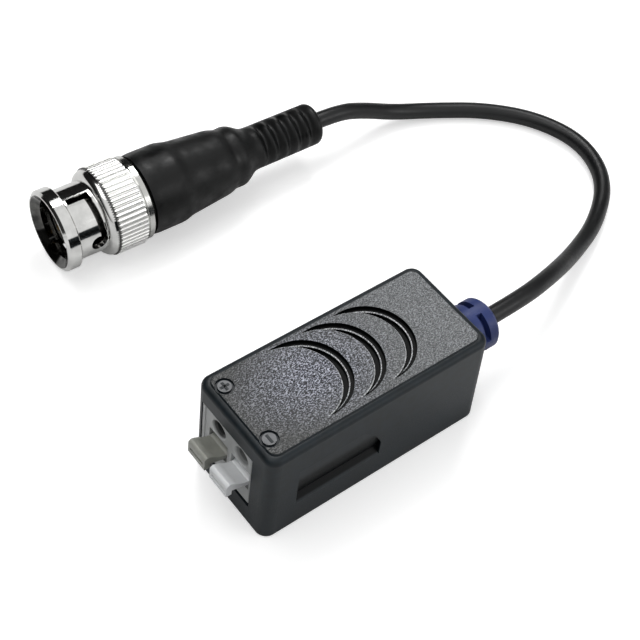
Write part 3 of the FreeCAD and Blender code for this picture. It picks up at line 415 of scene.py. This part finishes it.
# plug
def knurled_nut_plate():
    """Bright nickel plating on the turned and knurled coupling nut: painted highlights on the knurl's fine crests, a
    painted dark reflection along the toothed shoulder, and painted shade down in the mouth."""
    made, tree, shader, place = new_material("bright_nickel_knurled_nut", Metallic=1.0)
    on_plug = add(tree, "ShaderNodeMapping", {"Vector": place, "Location": PLUG_FRONT * MM,
                                              "Rotation": (0, 0, PLUG_YAW)}, vector_type="TEXTURE")
    parts = add(tree, "ShaderNodeSeparateXYZ", {"Vector": on_plug}).outputs
    across = add(tree, "ShaderNodeVectorMath", {0: on_plug, 1: (0, 1, 1)}, operation="MULTIPLY")
    radius = add(tree, "ShaderNodeVectorMath", {0: across}, operation="LENGTH")
    facing = add(tree, "ShaderNodeTexCoord").outputs["Normal"]
    outward = add(tree, "ShaderNodeVectorMath", {0: across, 1: facing}, operation="DOT_PRODUCT")
    inner = add(tree, "ShaderNodeMapRange", {"Value": outward, "From Min": MOUTH_FACING[0] * MM,
                                             "From Max": MOUTH_FACING[1] * MM})

    angle = add(tree, "ShaderNodeMath", {0: parts["Y"], 1: parts["Z"]}, operation="ARCTAN2")
    phase = add(tree, "ShaderNodeMath", {0: angle, 1: KNURL_RIDGES}, operation="MULTIPLY")
    wave = add(tree, "ShaderNodeMath", {0: phase}, operation="SINE")
    rim = (radius, KNURL_LOW * MM, KNURL_HIGH * MM, 0.05 * MM)
    grip = within(tree, (parts["X"], KNURL_FROM * MM, KNURL_TO * MM, 0.05 * MM), rim)
    tooth = add(tree, "ShaderNodeMath", {0: wave, 1: TOOTH_REACH * MM}, operation="MULTIPLY")
    toothed = add(tree, "ShaderNodeMath", {0: tooth, 1: parts["X"]}, operation="ADD")
    serration = within(tree, (toothed, TOOTHED_FROM * MM, TOOTHED_TO * MM, 0.06 * MM), rim)
    shadow = add(tree, "ShaderNodeMath", {0: serration, 1: 0.85}, operation="MULTIPLY")

    haze = add(tree, "ShaderNodeTexNoise", {"Vector": place, "Scale": per_mm(2.2), "Detail": 4.0})
    colour = add(tree, "ShaderNodeValToRGB", {"Fac": haze}, [(0.3, "#c6c6c4"), (0.7, "#dcdcda")])
    # painted highlight on the knurl's crests
    crests = add(tree, "ShaderNodeValToRGB", {"Fac": wave}, [(0.0, "#c9c9c6"), (0.6, "#f4f4f2")])
    # painted shade down in the mouth
    mouth = add(tree, "ShaderNodeValToRGB", {"Fac": haze}, [(0.35, "#2c2c2b"), (0.65, "#6a6a68")])
    for share, coat in ((grip, crests), (shadow, linear("#1a1a19")), (inner, mouth)):
        colour = add(tree, "ShaderNodeMix", {"Factor": share, UNDER: colour, OVER: coat}, data_type="RGBA")

    ridges = add(tree, "ShaderNodeMath", {0: wave, 1: grip}, operation="MULTIPLY")
    feed_shader(
        tree, shader, Base_Color=colour,
        Roughness=add(tree, "ShaderNodeMapRange", {"Value": grip, "To Min": 0.1, "To Max": 0.3}),
        Normal=add(tree, "ShaderNodeBump", {"Height": ridges, "Distance": 0.06 * MM, "Strength": 0.6}))
    return made


def plated(name, light, dark, roughness):
    """Bright plating over turned brass: tool lines run round the axis, with faint handling haze. The lines are
    drawn 0.05 mm apart, coarser than a fine cut leaves them."""
    made, tree, shader, place = new_material(name, Metallic=1.0)
    along = add(tree, "ShaderNodeMapping", {"Vector": place, "Rotation": (0, 0, -PLUG_YAW),
                                            "Scale": (1.0, 0.02, 0.02)})
    lines = add(tree, "ShaderNodeTexNoise", {"Vector": along, "Scale": per_mm(0.05), "Detail": 2.0})
    haze = add(tree, "ShaderNodeTexNoise", {"Vector": place, "Scale": per_mm(2.2), "Detail": 4.0})
    feed_shader(
        tree, shader,
        Base_Color=add(tree, "ShaderNodeValToRGB", {"Fac": haze}, [(0.3, dark), (0.7, light)]),
        Roughness=add(tree, "ShaderNodeMapRange", {"Value": haze, "From Min": NOISE_LOW, "From Max": NOISE_HIGH,
                                                   "To Min": roughness, "To Max": roughness + 0.09}),
        Normal=add(tree, "ShaderNodeBump", {"Height": lines, "Distance": 0.002 * MM, "Strength": 0.5}))
    return made


# inner parts
def plain_solid(name, light, dark, roughness, size, metallic=0.0):
    """An inner part's surface: mottled at the size of its own grain."""
    made, tree, shader, place = new_material(name, Roughness=roughness, Metallic=metallic)
    mottle = add(tree, "ShaderNodeTexNoise", {"Vector": place, "Scale": per_mm(size), "Detail": 4.0})
    feed_shader(
        tree, shader,
        Base_Color=add(tree, "ShaderNodeValToRGB", {"Fac": mottle}, [(0.35, dark), (0.65, light)]),
        Normal=add(tree, "ShaderNodeBump", {"Height": mottle, "Distance": 0.02 * MM, "Strength": 0.4}))
    return made


def dress(nodes, material):
    """Gives one material to every face of the named pieces."""
    for name in nodes:
        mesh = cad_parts[name].data
        mesh.materials.clear()
        mesh.materials.append(material)


def dress_all(jacket):
    dress(["housing_base"], moulded_abs())
    dress(["housing_lid"], textured_lid())
    dress(["terminal_block"], moulded_nylon("grey_nylon_block", "#b9bbbb", "#a3a5a5", 0.42, WIRE_HOLES))
    dress(["lever_plus"], moulded_nylon("grey_nylon_lever", "#a3a49c", "#8f9089", 0.4))
    dress(["lever_minus"], moulded_nylon("white_nylon_lever", "#e9ebec", "#dfe1e3", 0.35))
    dress(["cord_grommet"], moulded_pvc("blue_pvc_grommet", "#29376b", "#1e2a58", 0.42, 0.35))
    dress(["cable_tail", "plug_cable"], jacket)
    dress(["coupling_nut"], knurled_nut_plate())
    dress(["thrust_ring", "crimp_ferrule"], plated("bright_nickel_plate", "#cbcbc8", "#b4b4b1", 0.12))
    dress(["plug_body"], plated("satin_nickel_plate", "#a9a7a3", "#908e8b", 0.18))
    dress(["contact_plus", "contact_minus", "signal_lead", "shield_lead", "core_wire", "slip_washer"],
          plated("tinned_brass", "#cbc8c0", "#b0ada6", 0.28))
    dress(["centre_pin"], plated("gold_plated_brass", "#c9a869", "#a98a4c", 0.16))
    dress(["lever_pin", "clamp_spring_plus", "clamp_spring_minus", "wave_washer"],
          plated("rolled_spring_steel", "#aeb0b2", "#8e9092", 0.24))
    dress(["circuit_board"], plain_solid("green_masked_laminate", "#1f5a34", "#174a2a", 0.4, 1.5))
    dress(["ferrite_core"], plain_solid("sintered_ferrite", "#3a3b3e", "#28292b", 0.7, 0.3))
    dress(["line_winding", "video_winding"],
          plain_solid("enamelled_copper_turns", "#a9522a", "#7c3a1c", 0.32, 0.4, metallic=1.0))
    dress(["capacitor_plus", "capacitor_minus", "surge_arrester"],
          plain_solid("glazed_ceramic", "#c9b48f", "#b39d78", 0.35, 0.8))
    dress(["plug_insulator"], plain_solid("turned_ptfe", "#f1f1ee", "#e6e6e2", 0.5, 0.6))
    dress(["plug_gasket"], plain_solid("red_silicone_gasket", "#6a3029", "#562620", 0.5, 0.8))


# camera, light and floor
def show(name, data):
    """An object made of this data, linked to the scene."""
    made = bpy.data.objects.new(name, data)
    bpy.context.scene.collection.objects.link(made)
    return made


def show_form(name, form, material):
    """An object made of a finished form, all in one material."""
    mesh = bpy.data.meshes.new(name)
    form.to_mesh(mesh)
    form.free()
    mesh.materials.append(material)
    return show(name, mesh)


def set_camera():
    data = bpy.data.cameras.new("camera")
    data.sensor_width = SENSOR
    data.lens = FOCAL_PIXELS / IMAGE_SIDE * SENSOR
    data.clip_start = NEAREST_SEEN
    camera = show("camera", data)
    camera.location = CAMERA_PLACE
    camera.rotation_euler = [math.radians(a) for a in CAMERA_TURN]
    bpy.context.scene.camera = camera


def softbox(name, place, aim, size, power):
    data = bpy.data.lights.new(name, "AREA")
    data.shape = "RECTANGLE"
    data.size, data.size_y = size
    data.energy = power
    lamp = show(name, data)
    lamp.location = place
    lamp.rotation_euler = (Vector(aim) - Vector(place)).to_track_quat("-Z", "Y").to_euler()


def set_light():
    """Three softboxes in an evenly lit room, against white. Shiny parts mirror a dome that is bright on one side
    and dark on the other, over a white table."""
    softbox("key_softbox", (0.2, 0.23, 0.42), (0, 0.01, 0.01), (0.18, 0.18), 1.0)
    softbox("overhead_softbox", (-0.12, 0.1, 0.5), (0.01, 0.02, 0), (0.4, 0.3), 0.8)
    softbox("side_fill", (0.28, -0.34, 0.22), (0.01, 0, 0.01), (0.25, 0.2), 0.4)
    world = bpy.data.worlds.new("studio")
    bpy.context.scene.world = world
    world.use_nodes = True
    tree = world.node_tree
    tree.nodes.clear()
    ray = add(tree, "ShaderNodeLightPath").outputs
    seen = add(tree, "ShaderNodeMath", {0: ray["Is Glossy Ray"], 1: ray["Is Transmission Ray"]},
               operation="MAXIMUM")
    toward = add(tree, "ShaderNodeTexCoord").outputs["Generated"]
    height = add(tree, "ShaderNodeSeparateXYZ", {"Vector": toward}).outputs["Z"]
    bright_side = add(tree, "ShaderNodeVectorMath", {0: toward, 1: (0.0, -0.6, 0.8)}, operation="DOT_PRODUCT")
    dome = add(tree, "ShaderNodeValToRGB", {"Fac": bright_side},
               [(0.1, "#1c1c1c"), (0.4, "#484848"), (0.58, "#c8c8c8"), (0.75, "#ffffff")])
    low = within(tree, (height, -FAR, 0.03, 0.05))
    sweep = add(tree, "ShaderNodeMix", {"Factor": low, UNDER: dome, OVER: linear("#ffffff")}, data_type="RGBA")
    room = add(tree, "ShaderNodeBackground", {"Color": linear("#ffffff"), "Strength": 0.5})
    mirrored = add(tree, "ShaderNodeBackground", {"Color": sweep, "Strength": 1.0})
    backdrop = add(tree, "ShaderNodeBackground", {"Color": linear("#ffffff"), "Strength": 1.0})
    lit = add(tree, "ShaderNodeMixShader", {"Fac": seen, 1: room, 2: mirrored})
    both = add(tree, "ShaderNodeMixShader", {"Fac": ray["Is Camera Ray"], 1: lit, 2: backdrop})
    add(tree, "ShaderNodeOutputWorld", {"Surface": both})


def pale_paper():
    """White paper that keeps the shadow near the part and turns into the plain white backdrop further out."""
    made, tree, shader, place = new_material("pale_paper", Roughness=0.9, Specular_IOR_Level=0.0,
                                             Emission_Color=linear("#ffffff"))
    ray = add(tree, "ShaderNodeLightPath").outputs
    reach = add(tree, "ShaderNodeVectorMath", {0: place}, operation="LENGTH")
    far = add(tree, "ShaderNodeMapRange", {"Value": reach, "From Min": PAPER_TO, "From Max": BACKDROP_FROM})
    paper = add(tree, "ShaderNodeMix", {"Factor": ray["Is Diffuse Ray"], UNDER: linear("#e9e9e9"),
                                        OVER: linear("#7a7a7a")}, data_type="RGBA")
    seen_far = add(tree, "ShaderNodeMath", {0: far, 1: ray["Is Camera Ray"]}, operation="MULTIPLY")
    glow = add(tree, "ShaderNodeMapRange", {"Value": far, "To Min": 0.45, "To Max": 1.0})
    feed_shader(
        tree, shader,
        Base_Color=add(tree, "ShaderNodeMix", {"Factor": seen_far, UNDER: paper, OVER: linear("#000000")},
                       data_type="RGBA"),
        Emission_Strength=add(tree, "ShaderNodeMath", {0: ray["Is Camera Ray"], 1: glow}, operation="MULTIPLY"))
    return made


def lay_floor():
    form = bmesh.new()
    bmesh.ops.create_grid(form, x_segments=1, y_segments=1, size=FLOOR_HALF)
    floor = show_form("floor_sheet", form, pale_paper())
    floor.location = (0, 0, -FLOOR_DROP)


# free lead
def lay_lead(jacket, made_pieces):
    data = bpy.data.curves.new("coaxial_lead", "CURVE")
    data.dimensions = "3D"
    data.bevel_depth = LEAD_RADIUS * MM
    data.bevel_resolution = 8
    data.resolution_u = 16
    data.use_fill_caps = True
    line = data.splines.new("NURBS")
    line.points.add(len(LEAD_ROUTE) - 1)
    for point, place in zip(line.points, LEAD_ROUTE):
        point.co = (*(place * MM), 1)
    line.order_u = 3
    line.use_endpoint_u = True
    data.materials.append(jacket)
    lead = show("coaxial_lead", data)
    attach(lead, "housing")
    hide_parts("cord")


# spring washer
def lay_spring_washer():
    """The bent washer inside the nut, as a copy of the part with its own mesh; the real one flattens against the
    flange when the nut is pushed along.
    """
    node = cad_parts["wave_washer"]
    washer = show("bent_spring_washer", node.data.copy())
    washer.matrix_world = node.matrix_world
    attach(washer, "housing")
    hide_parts("wave_washer")
    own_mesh(washer)
    return washer


# boot
def straight_outline(x):
    """The boot's outer radius at a place along the plug, before softening."""
    for (x0, r0), (x1, r1) in zip(BOOT_OUTSIDE, BOOT_OUTSIDE[1:]):
        if x <= x1:
            return r0 + (r1 - r0) * (max(x, x0) - x0) / (x1 - x0)
    return BOOT_OUTSIDE[-1][1]


def boot_outline():
    """Samples the boot's outer outline, softened as moulded PVC is, with a round edge at its tip."""
    steps = range(-SOFT_STEPS, SOFT_STEPS + 1)
    weights = [math.exp(-0.5 * (k * BOOT_STEP / BOOT_SOFTNESS) ** 2) for k in steps]
    start, rounding_from = BOOT_OUTSIDE[0][0], BOOT_END - BOOT_TIP_ROUND
    points = []
    for i in range(int((BOOT_END - start) / BOOT_STEP) + 1):
        x = start + i * BOOT_STEP
        radius = sum(w * straight_outline(x + k * BOOT_STEP) for k, w in zip(steps, weights)) / sum(weights)
        over = max(0.0, (x - rounding_from) / BOOT_TIP_ROUND)
        points.append((x, radius - BOOT_TIP_ROUND * (1 - math.sqrt(max(0.0, 1 - over * over)))))
    return points


def hollow_at(x, angle):
    """How deep the tail's hollows go at a place: deepest in the middle of two opposite sides."""
    across = abs(math.cos(angle - HOLLOW_SIDE))
    if across < HOLLOW_LEAST:
        return 0.0
    nearest = min(HOLLOW_COUNT - 1, max(0, round((x - HOLLOW_FIRST) / HOLLOW_PITCH)))
    off = (x - HOLLOW_FIRST - nearest * HOLLOW_PITCH) / HOLLOW_RADIUS
    return HOLLOW_DEPTH * across ** HOLLOW_ROUNDNESS * math.exp(-HOLLOW_STEEPNESS * off * off)


def mould_boot(material):
    """A closed mesh turned about the plug's axis, with the tail's hollows pressed in."""
    form = bmesh.new()
    outside = boot_outline()
    rings = []
    place = Matrix.Translation(PLUG_FRONT * MM) @ Matrix.Rotation(PLUG_YAW, 4, "Z")
    for i, (x, radius) in enumerate(outside + BOOT_INSIDE):
        ring = []
        for j in range(BOOT_TURNS):
            angle = 2 * math.pi * j / BOOT_TURNS
            r = radius - (hollow_at(x, angle) if i < len(outside) else 0.0)
            ring.append(form.verts.new(place @ (Vector((x, r * math.cos(angle), r * math.sin(angle))) * MM)))
        rings.append(ring)
    for one, following in zip(rings, rings[1:] + rings[:1]):
        for j in range(BOOT_TURNS):
            k = (j + 1) % BOOT_TURNS
            form.faces.new((one[j], one[k], following[k], following[j]))
    bmesh.ops.recalc_face_normals(form, faces=form.faces[:])
    boot = show_form("moulded_boot", form, material)
    boot.data.shade_smooth()
    boot.data.set_sharp_from_angle(angle=BOOT_SHARP_FROM)
    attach(boot, "housing")
    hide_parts("cable_boot")
    return boot


# polarity signs
def set_sign(name, centre, turns, material):
    """A sign of one or two flat dark bars with eased edges, one for each turn, standing in for the shade in a
    recessed sign.
    """
    form = bmesh.new()
    sized = Matrix.Diagonal((SIGN_LENGTH * MM, SIGN_WIDTH * MM, SIGN_HEIGHT * MM, 1))
    for turn in turns:
        bar = bmesh.ops.create_cube(form, size=1.0)["verts"]
        placed = Matrix.Translation(centre * MM) @ Matrix.Rotation(turn, 4, "Z") @ sized
        bmesh.ops.transform(form, matrix=placed, verts=bar)
    bmesh.ops.bevel(form, geom=form.edges[:], offset=SIGN_EDGE * MM, segments=2, affect="EDGES")
    sign = show_form(name, form, material)
    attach(sign, "housing")


def set_signs():
    # painted shade: dark bars put where the real signs are recessed
    dark = moulded_abs("sign_shade_abs")
    for name, side, turns in (("plus_sign", 1, (0, math.pi / 2)), ("minus_sign", -1, (math.pi / 2,))):
        centre = Vector((MARK_X, MARK_MID_Y + side * MARK_SPREAD / 2, LID_TOP))
        set_sign(name, centre, turns, dark)


bpy.context.scene.view_settings.view_transform = "Standard"
set_camera()
jacket_material = moulded_pvc("black_pvc_jacket", "#131415", "#0d0e0f", 0.38, 0.5)
dress_all(jacket_material)
lay_lead(jacket_material, [mould_boot(boot_pvc()), lay_spring_washer()])
set_signs()
set_light()
lay_floor()
